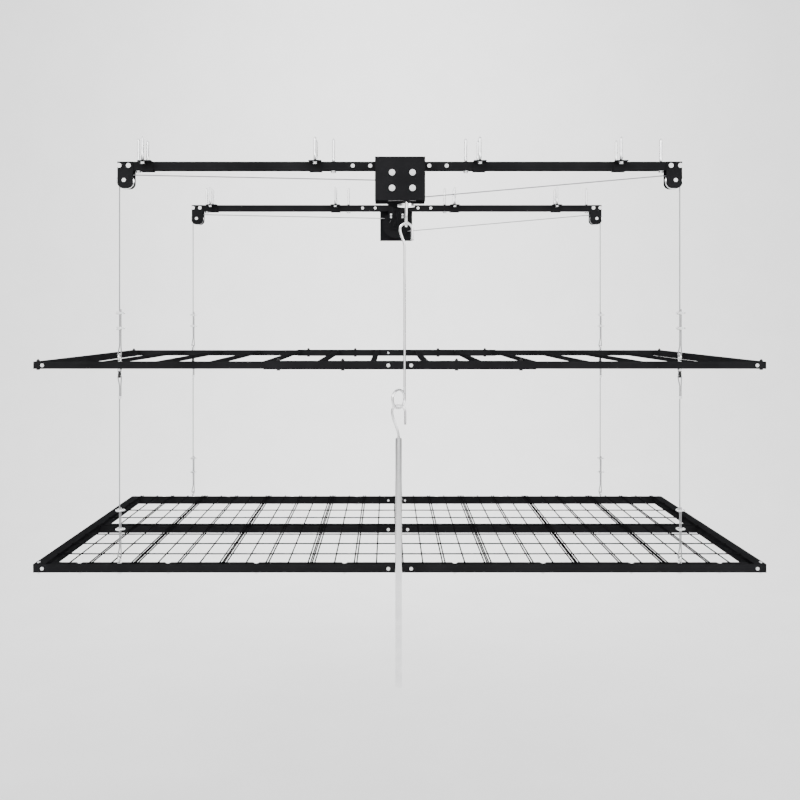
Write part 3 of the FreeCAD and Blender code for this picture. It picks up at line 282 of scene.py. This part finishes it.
class Solid:
    """Vertices and faces gathered from several closed shapes."""

    def __init__(self):
        self.verts = []
        self.faces = []

    def rings(self, rings, closed=False):
        """Join equal rings of points into a tube, capped at both ends unless it is closed."""
        start = len(self.verts)
        count = len(rings[0])
        for ring in rings:
            self.verts.extend(tuple(point) for point in ring)
        last = len(rings) if closed else len(rings) - 1
        for row in range(last):
            here, there = start + row * count, start + ((row + 1) % len(rings)) * count
            for step in range(count):
                after = (step + 1) % count
                self.faces.append((here + step, here + after, there + after, there + step))
        if not closed:
            self.faces.append(tuple(range(start + count - 1, start - 1, -1)))
            end = start + (len(rings) - 1) * count
            self.faces.append(tuple(range(end, end + count)))

    def turned(self, profile, centre, axis, sides=32, angle=0.0):
        """Turn a profile of (distance along the axis, radius) points about an axis."""
        axis = Vector(axis).normalized()
        across = axis.orthogonal().normalized()
        up = axis.cross(across)
        rings = []
        for along, radius in profile:
            middle = Vector(centre) + axis * along
            rings.append([middle + (across * math.cos(turn) + up * math.sin(turn)) * radius
                          for turn in (angle + 2 * math.pi * step / sides for step in range(sides))])
        self.rings(rings)

    def tube(self, path, radius, sides=16, closed=False):
        """A round bar along a path. Its ends are domed unless the path is closed."""
        path = [Vector(point) for point in path]
        count = len(path)
        tangents = []
        for place in range(count):
            before = path[place - 1] if closed or place else path[0]
            after = path[(place + 1) % count] if closed or place < count - 1 else path[-1]
            tangents.append((after - before).normalized())
        side = tangents[0].orthogonal().normalized()
        rings = []
        for place, point in enumerate(path):
            side = (side - tangents[place] * side.dot(tangents[place])).normalized()
            up = tangents[place].cross(side)
            rings.append((point, tangents[place], side, up))
        sections = [(point, side, up, radius) for point, _, side, up in rings]
        if not closed:
            sections = dome(rings[0], radius, -1) + sections[1:-1] + dome(rings[-1], radius, 1)
        self.rings([[point + (side * math.cos(turn) + up * math.sin(turn)) * size
                     for turn in (2 * math.pi * step / sides for step in range(sides))]
                    for point, side, up, size in sections], closed)

    def piece(self, name, slot, body, smooth=True):
        return mesh_piece(name, self.verts, self.faces, slot, body, smooth)


def dome(end, radius, direction, steps=4):
    """The shrinking sections that round off one end of a bar, in the order of the path."""
    point, tangent, side, up = end
    sections = []
    for step in range(steps + 1):
        turn = math.pi / 2 * step / (steps + 0.35)
        sections.append((point + tangent * direction * radius * (math.sin(turn) - 1), side, up,
                         radius * math.cos(turn)))
    return sections if direction > 0 else sections[::-1]


def line(start, end, step):
    """Points from start towards end, evenly spaced, without the end itself."""
    start, end = Vector(start), Vector(end)
    count = max(1, round((end - start).length / step))
    return [start.lerp(end, place / count) for place in range(count)]


def bend(centre, radius, first, last, step):
    """Points round an arc in an XZ plane between two angles in degrees, without its end."""
    count = max(2, round(abs(math.radians(last - first)) * radius / step))
    points = []
    for place in range(count):
        turn = math.radians(first + (last - first) * place / count)
        points.append(Vector(centre) + Vector((math.cos(turn), 0, math.sin(turn))) * radius)
    return points


# ---- wire rope -------------------------------------------------------------------------------

ROPE_STEP = 2.2 * MM
LAY_LENGTH = 24 * MM
STRANDS = 6
STRAND_RADIUS = 0.68 * MM
STRAND_ORBIT = 1.3 * MM
CORE_RADIUS = 0.95 * MM
STRAND_SIDES = 5


def lay_rope(solid, path, phase=0.0):
    """Lay strands round a path that keeps close to an XZ plane. Returns the last phase."""
    frames = []
    travelled = 0.0
    for place, point in enumerate(path):
        before = path[max(place - 1, 0)]
        after = path[min(place + 1, len(path) - 1)]
        tangent = (after - before).normalized()
        side = tangent.cross(Y_AXIS).normalized()
        frames.append((point, side, side.cross(tangent), travelled))
        if place < len(path) - 1:
            travelled += (path[place + 1] - point).length
    for strand in range(STRANDS):
        rings = []
        for point, side, up, distance in frames:
            turn = phase + 2 * math.pi * (distance / LAY_LENGTH + strand / STRANDS)
            middle = point + (side * math.cos(turn) + up * math.sin(turn)) * STRAND_ORBIT
            rings.append([middle + (side * math.cos(around) + up * math.sin(around)) * STRAND_RADIUS
                          for around in (2 * math.pi * edge / STRAND_SIDES + turn
                                         for edge in range(STRAND_SIDES))])
        solid.rings(rings)
    solid.rings([[point + (side * math.cos(around) + up * math.sin(around)) * CORE_RADIUS
                  for around in (2 * math.pi * edge / STRAND_SIDES for edge in range(STRAND_SIDES))]
                 for point, side, up, _ in frames[::3] + frames[-1:]])
    return phase + 2 * math.pi * travelled / LAY_LENGTH


def drum_line(end):
    """Where a rope leaves the drum and meets its pulley, and its slope in degrees.

    The left rope leaves the top of the drum and the right rope its underside.
    """
    over = 1 if end < 0 else -1
    span_x, span_z = end * PULLEY_X - DRUM_X, PULLEY_Z - DRUM_Z
    slope = math.atan2(span_z, abs(span_x)) - math.asin(
        (over * DRUM_PITCH - PULLEY_PITCH) / math.hypot(span_x, span_z))
    normal = Vector((-end * math.sin(slope), 0, math.cos(slope)))
    leaves = Vector((DRUM_X, 0, DRUM_Z)) + normal * over * DRUM_PITCH
    meets = Vector((end * PULLEY_X, 0, PULLEY_Z)) + normal * PULLEY_PITCH
    return leaves, meets, math.degrees(slope)


def build_cable_runs():
    """Ropes from the drums over the end pulleys, and the drops, which shorten with the lift on the real
    rack but are built here as one fixed mesh on no body.
    """
    runs, drops = Solid(), Solid()
    for side in SIDES.values():
        for end in ENDS.values():
            leaves, meets, slope = drum_line(end)
            rail = Y_AXIS * side * RAIL_Y
            centre = Vector((end * PULLEY_X, 0, PULLEY_Z)) + rail
            first = 90 + slope if end > 0 else 90 - slope
            last = 0 if end > 0 else 180
            path = line(leaves + rail, meets + rail, ROPE_STEP)
            path += bend(centre, PULLEY_PITCH, first, last, ROPE_STEP)
            foot = Vector((end * HANG_X, side * RAIL_Y, DROP_TOP))
            path += line((end * HANG_X, side * RAIL_Y, PULLEY_Z), foot, ROPE_STEP) + [foot]
            phase = lay_rope(runs, path)
            end_point = Vector((end * HANG_X, side * RAIL_Y, DROP_BOTTOM))
            lay_rope(drops, line(foot, end_point, ROPE_STEP) + [end_point], phase)
    piece = runs.piece("rope_runs", "wire_rope", "ceiling_frame")
    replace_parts(piece, "cable_runs")
    drop = drops.piece("rope_drops", "wire_rope", None)
    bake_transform(drop)
    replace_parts(drop, "cable_drops")


STRAND_GAP = 4.4 * MM
LOOP_BEND = 5.9 * MM
LOOP_RISE = 30 * MM
MAIN_TAIL_SHORT = 8 * MM
FOOT_TAIL = 135.5 * MM


def loop_path(x, y, bar_z, up, live_z, dead_z):
    """A rope that comes along its live side, turns round a bar and goes back beside itself.

    up is 1 where the rope comes from above the bar, and -1 where it comes from below.
    """
    neck_z = bar_z + up * LOOP_RISE
    path = line((x, y, live_z), (x, y, neck_z), ROPE_STEP)
    path += line((x, y, neck_z), (x - LOOP_BEND, y, bar_z), ROPE_STEP)
    path += bend((x, y, bar_z), LOOP_BEND, 180, 360 if up > 0 else 0, ROPE_STEP)
    path += line((x + LOOP_BEND, y, bar_z), (x + STRAND_GAP, y, neck_z), ROPE_STEP)
    path += line((x + STRAND_GAP, y, neck_z), (x + STRAND_GAP, y, dead_z), ROPE_STEP)
    return path


def build_rope_ends():
    """Loops at the tiers, and the ropes that carry the lower tier."""
    ends, lower = Solid(), Solid()
    main_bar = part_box("main_cable_ends")[0][2] + ROPE_RADIUS + LOOP_BEND
    under_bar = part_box("lower_cables")[1][2] - ROPE_RADIUS - LOOP_BEND
    foot_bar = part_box("lower_cables")[0][2] + ROPE_RADIUS + LOOP_BEND
    ferrule_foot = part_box("cable_ferrules")[0][2]
    main_tail = DROP_BOTTOM - MAIN_TAIL_SHORT
    foot_tail = foot_bar + LOOP_RISE + FOOT_TAIL
    middle = (under_bar + foot_bar) / 2
    for side in SIDES.values():
        for end in ENDS.values():
            x, y = end * HANG_X, side * RAIL_Y
            lay_rope(ends, loop_path(x, y, main_bar, 1, DROP_BOTTOM, main_tail))
            lay_rope(lower, loop_path(x, y, under_bar, -1, middle, ferrule_foot + 1 * MM))
            lay_rope(lower, loop_path(x, y, foot_bar, 1, middle, foot_tail), math.pi)
    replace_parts(ends.piece("rope_loops", "wire_rope", "platforms"), "main_cable_ends")
    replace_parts(lower.piece("lower_tier_ropes", "wire_rope", "platforms"), "lower_cables")


def build_drum_wraps():
    """Rope wound on each drum: one coil for each of its two ropes."""
    wraps = Solid()
    turns, pitch = 1.9, 4.6 * MM
    for side in SIDES.values():
        for end in ENDS.values():
            lane = side * RAIL_Y + end * 0.6 * pitch
            path = []
            count = round(turns * 2 * math.pi * DRUM_PITCH / ROPE_STEP)
            for place in range(count + 1):
                share = place / count
                turn = math.radians(90 * -end) + end * share * turns * 2 * math.pi
                path.append(Vector((DRUM_X + math.cos(turn) * DRUM_PITCH,
                                    lane + end * share * turns * pitch * 0.9,
                                    DRUM_Z + math.sin(turn) * DRUM_PITCH)))
            lay_rope(wraps, path)
    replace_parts(wraps.piece("drum_rope", "wire_rope", "drum_shaft"), "drum_cable_wraps")


# ---- fasteners -------------------------------------------------------------------------------

def hexagon_head(solid, centre, axis, flat_radius, height, angle=0.0):
    """A hexagon head with chamfered corners that grows along its axis."""
    chamfer = 0.12 * flat_radius
    solid.turned([(0, flat_radius), (height - chamfer, flat_radius), (height, flat_radius - 2 * chamfer)],
                 centre, axis, 6, angle)


def thread(solid, centre, axis, core, crest, pitch, length, sides=14):
    """A closed helical thread round a shank, tapering into it at both ends."""
    axis = Vector(axis).normalized()
    across = axis.orthogonal().normalized()
    up = axis.cross(across)
    turns = length / pitch
    count = round(turns * sides)
    rings = []
    for place in range(count + 1):
        share = place / count
        turn = 2 * math.pi * turns * share
        out = across * math.cos(turn) + up * math.sin(turn)
        middle = Vector(centre) + axis * length * share
        fade = min(1.0, 8 * share, 8 * (1 - share))
        height = core + (crest - core) * fade
        rings.append([middle + out * core * 0.9 - axis * pitch * 0.36, middle + out * height,
                      middle + out * core * 0.9 + axis * pitch * 0.36])
    solid.rings(rings)


def lag_screw(solid, x, y, seat, top):
    """Head and washer under the seat, a shank that steps up at the ceiling, thread and gimlet point."""
    solid.turned([(0, 4.6 * MM), (0, 8.6 * MM), (0.3 * MM, 9 * MM), (1.7 * MM, 9 * MM), (2 * MM, 8.6 * MM),
                  (2 * MM, 4.6 * MM)], (x, y, seat - 2 * MM), (0, 0, 1), 28)
    hexagon_head(solid, (x, y, seat - 2 * MM), (0, 0, -1), 8.7 * MM, 6.4 * MM, x * 40)
    length = top - seat
    solid.turned([(0, 4.4 * MM), (-seat, 4.4 * MM), (-seat + 0.5 * MM, 4.9 * MM),
                  (length * 0.36, 4.9 * MM), (length * 0.37, 4.5 * MM), (length - 9 * MM, 4.5 * MM),
                  (length - 4 * MM, 3.4 * MM), (length - 1 * MM, 1.4 * MM), (length, 0.1 * MM)],
                 (x, y, seat), (0, 0, 1), 24)
    thread(solid, (x, y, seat + length * 0.37), (0, 0, 1), 4.5 * MM, 5.0 * MM, 2.8 * MM,
           length * 0.63 - 10 * MM)


def build_lag_screws():
    """Screws that stand up into the joists, at the strap flanges and through the rails."""
    strap_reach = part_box("bracket_lag_screws")
    top = strap_reach[1][2]
    hole = strap_reach[1][1] - RAIL_Y - 9 * MM
    flange, lag_x = -3 * MM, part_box("rail_lag_screws")[1][0] - 9 * MM
    straps = Solid()
    for x in STRAP_SCREW_X:
        for side in SIDES.values():
            for edge in SIDES.values():
                lag_screw(straps, x, side * RAIL_Y + edge * hole, flange, top)
    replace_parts(straps.piece("strap_screws", "zinc_steel", "ceiling_frame"), "bracket_lag_screws")
    rails = Solid()
    for x in (-lag_x, -INNER_LAG_X, INNER_LAG_X, lag_x):
        for side in SIDES.values():
            lag_screw(rails, x, side * RAIL_Y, -RAIL_SIDE, top)
    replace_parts(rails.piece("rail_screws", "zinc_steel", "ceiling_frame"), "rail_lag_screws")


# ---- pulleys ---------------------------------------------------------------------------------

def rings_closed(solid, outline, centre, sides=56):
    """Turn a closed outline about the Y axis, leaving its bore open."""
    middle = Vector(centre)
    rings = []
    for step in range(sides):
        turn = 2 * math.pi * step / sides
        out = Vector((math.cos(turn), 0, math.sin(turn)))
        rings.append([middle + Y_AXIS * along + out * radius for along, radius in outline])
    solid.rings(rings, closed=True)


def build_pulleys():
    """Turned pulleys with a round groove, lightening web and hub."""
    half, rim = 10 * MM, 27.5 * MM
    floor = 17.7 * MM
    hub, hub_half, bore = 9 * MM, 13.5 * MM, 4.1 * MM
    for side_name, side in SIDES.items():
        for end_name, end in ENDS.items():
            solid = Solid()
            profile = [(-hub_half, bore), (-hub_half, hub - 0.6 * MM), (-hub_half + 0.6 * MM, hub),
                       (-half + 3.5 * MM, hub), (-half + 3.5 * MM, hub + 1 * MM),
                       (-half + 2.2 * MM, rim - 6 * MM), (-half + 0.3 * MM, rim - 4.5 * MM),
                       (-half, rim - 3.5 * MM), (-half, rim - 0.8 * MM), (-half + 0.8 * MM, rim),
                       (-half + 2 * MM, rim)]
            groove = [(-half + 2.6 * MM, rim - 0.7 * MM), (-4.4 * MM, floor + 4.5 * MM),
                      (-2.6 * MM, floor + 1.1 * MM), (-1.3 * MM, floor + 0.2 * MM), (0, floor)]
            outline = profile + groove
            outline += [(-along, radius) for along, radius in reversed(outline[:-1])]
            rings_closed(solid, outline, (end * PULLEY_X, side * RAIL_Y, PULLEY_Z))
            name = f"pulley_{side_name}_{end_name}"
            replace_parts(solid.piece(f"turned_{name}", "zinc_steel", name), name)


# ---- hanging crank ---------------------------------------------------------------------------

def smooth(share):
    return share * share * (3 - 2 * share)


def hook_path(y, left_x, right_x, crest_z, tip_z, sweep_z, stem_x, stem_z):
    """Up from the tip, over the hook, down its other side and across to the stem."""
    middle = (left_x + right_x) / 2
    radius = (right_x - left_x) / 2
    path = line((right_x, y, tip_z), (right_x, y, crest_z), 4 * MM)
    path += bend((middle, y, crest_z), radius, 0, 180, 3 * MM)
    count = 26
    for place in range(count):
        share = place / count
        z = crest_z + (sweep_z - crest_z) * share
        path.append(Vector((left_x + (stem_x - left_x) * smooth(share), y, z)))
    return path + line((stem_x, y, sweep_z), (stem_x, y, stem_z), 12 * MM) + [Vector((stem_x, y, stem_z))]


def build_crank():
    """The hook rod with its ring, and the hook that carries the handle tube."""
    rod_box, hook_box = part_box("crank_rod"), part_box("crank_hook")
    worm_box, disc_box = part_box("worm_shaft"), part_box("input_disc")
    worm_y = (disc_box[0][1] + disc_box[1][1]) / 2
    worm_x = (worm_box[0][0] + worm_box[1][0]) / 2
    crest = rod_box[1][2] - CRANK_RADIUS - ROD_HOOK_BEND
    ring_z = rod_box[0][2] + CRANK_RADIUS + RING_BEND
    across = Vector((math.cos(RING_TURN), math.sin(RING_TURN), 0))
    ring_centre = Vector((ROD_X, worm_y, ring_z)) - across * RING_BEND
    solid = Solid()
    solid.tube(hook_path(worm_y, worm_x - ROD_HOOK_BEND, worm_x + ROD_HOOK_BEND, crest, ROD_HOOK_TIP,
                         ROD_SWEEP, ROD_X, ring_z), CRANK_RADIUS, 20)
    ring = [ring_centre + (across * math.cos(turn) + Vector((0, 0, 1)) * math.sin(turn)) * RING_BEND
            for turn in (2 * math.pi * step / 56 for step in range(56))]
    solid.tube(ring, CRANK_RADIUS, 20, closed=True)
    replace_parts(solid.piece("hook_rod", "bright_chrome", "crank_rod"), "crank_rod")

    tube_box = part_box("crank_tube")
    tube_x, tube_y = (tube_box[0][0] + tube_box[1][0]) / 2, (tube_box[0][1] + tube_box[1][1]) / 2
    crest = hook_box[1][2] - CRANK_RADIUS - TUBE_HOOK_BEND
    solid = Solid()
    solid.tube(hook_path(tube_y, ring_centre.x - TUBE_HOOK_BEND, ring_centre.x + TUBE_HOOK_BEND, crest,
                         TUBE_HOOK_TIP, tube_box[1][2] + 2 * MM, tube_x,
                         hook_box[0][2] + 0.5 * MM), CRANK_RADIUS, 20)
    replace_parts(solid.piece("handle_hook", "bright_chrome", "crank_handle"), "crank_hook")


# ---- carried-over CAD nodes ------------------------------------------------------------------

BEVELLED = (
    "rail_front_left", "rail_front_right", "rail_rear_left", "rail_rear_right", "joist_brackets",
    "pulley_cheeks", "winch_cover", "winch_back_plate", "rear_drum_plate", "shaft_hangers",
    "upper_beam_front", "upper_beam_rear", "upper_sleeves", "upper_end_beams", "upper_slats",
    "lower_beam_front", "lower_beam_rear", "lower_mid_beam", "lower_end_beams", "gearbox_housing",
    "splice_bolts", "pulley_axle_bolts", "cheek_bolts", "cover_bolts", "hanger_screws", "deck_clips",
    "upper_side_bolts", "lower_side_bolts", "upper_standing_bolts", "lower_standing_bolts",
    "rope_clips", "cable_ferrules", "input_disc", "crank_tube", "cable_drum_front", "cable_drum_rear",
)


def finish_cad_nodes():
    """Give every CAD node its finish, and break the sharp edges of those made of plate or bar."""
    slots = {part["node"]: part["material_slot"] for part in frame["record"]["subparts"]}
    for name, piece in frame["nodes"].items():
        paint(piece, slots[name])
        if name in BEVELLED:
            bevel = piece.modifiers.new("broken_edges", "BEVEL")
            bevel.width = 0.5 * MM
            bevel.segments = 2
            bevel.limit_method = "ANGLE"
            bevel.angle_limit = math.radians(40)
            bevel.harden_normals = False


# ---- studio ----------------------------------------------------------------------------------

def build_stage():
    """A pale floor that curves up into a backdrop, well clear of the rack."""
    floor_z, front_y, back_y, half_x, curve = -2.45, -14.0, 6.5, 16.0, 2.5
    profile = [(front_y, floor_z), (back_y - curve, floor_z)]
    profile += [(back_y - curve + curve * math.sin(turn), floor_z + curve * (1 - math.cos(turn)))
                for turn in (math.pi / 2 * step / 12 for step in range(1, 13))]
    profile.append((back_y, 9.0))
    verts = [(x, y, z) for y, z in profile for x in (-half_x, half_x)]
    faces = [(2 * row, 2 * row + 1, 2 * row + 3, 2 * row + 2) for row in range(len(profile) - 1)]
    mesh = bpy.data.meshes.new("studio_sweep")
    mesh.from_pydata(verts, [], faces)
    for polygon in mesh.polygons:
        polygon.use_smooth = True
    sweep = bpy.data.objects.new("studio_sweep", mesh)
    bpy.context.scene.collection.objects.link(sweep)
    sweep.data.materials.append(studio_paper())


def area_light(name, place, aim, size, power):
    light = bpy.data.lights.new(name, "AREA")
    light.shape = "DISK"
    light.size = size
    light.energy = power
    lamp = bpy.data.objects.new(name, light)
    bpy.context.scene.collection.objects.link(lamp)
    lamp.location = place
    lamp.rotation_euler = (Vector(aim) - Vector(place)).to_track_quat("-Z", "Y").to_euler()


def build_lights():
    middle = (0, 0, -0.75)
    area_light("key_light", (-3.2, -4.5, 2.6), middle, 3.0, 260)
    area_light("fill_light", (3.8, -3.6, 1.2), middle, 3.0, 150)
    area_light("rear_light", (0.5, 4.6, 3.0), middle, 3.0, 160)
    area_light("backdrop_light", (0, 2.5, 2.5), (0, 6.5, 0), 4.0, 260)
    build_surroundings()


def build_surroundings():
    """Bright in front of the rack and overhead, dim at its sides and behind it."""
    world = bpy.data.worlds.new("studio_white")
    world.use_nodes = True
    nodes, links = world.node_tree.nodes, world.node_tree.links
    split = nodes.new("ShaderNodeSeparateXYZ")
    links.new(nodes.new("ShaderNodeTexCoord").outputs["Generated"], split.inputs["Vector"])
    glow = []
    for axis, start, stop, low, high in (("Y", -0.35, -0.85, 0.25, 2.0), ("Z", 0.3, 0.9, 0.0, 0.8)):
        ranged = nodes.new("ShaderNodeMapRange")
        for name, value in (("From Min", start), ("From Max", stop), ("To Min", low), ("To Max", high)):
            ranged.inputs[name].default_value = value
        links.new(split.outputs[axis], ranged.inputs["Value"])
        glow.append(ranged.outputs["Result"])
    total = nodes.new("ShaderNodeMath")
    total.operation = "ADD"
    for place, value in enumerate(glow):
        links.new(value, total.inputs[place])
    links.new(total.outputs["Value"], nodes["Background"].inputs["Strength"])
    nodes["Background"].inputs["Color"].default_value = (1, 1, 1, 1)
    bpy.context.scene.world = world


def build_camera():
    """A level camera in front of the rack, a little left of its middle and between the tiers."""
    camera = bpy.data.cameras.new("camera")
    camera.sensor_width = 36
    camera.lens = 42.435
    camera.shift_x = 0.0144
    camera.shift_y = -0.1
    camera.clip_end = 60
    holder = bpy.data.objects.new("camera", camera)
    bpy.context.scene.collection.objects.link(holder)
    holder.location = (-0.0374, -3.740, -0.5263)
    holder.rotation_euler = (math.radians(90), 0, 0)
    bpy.context.scene.camera = holder


build_camera()
finish_cad_nodes()
build_cable_runs()
build_rope_ends()
build_drum_wraps()
build_lag_screws()
build_pulleys()
build_crank()
build_stage()
build_lights()
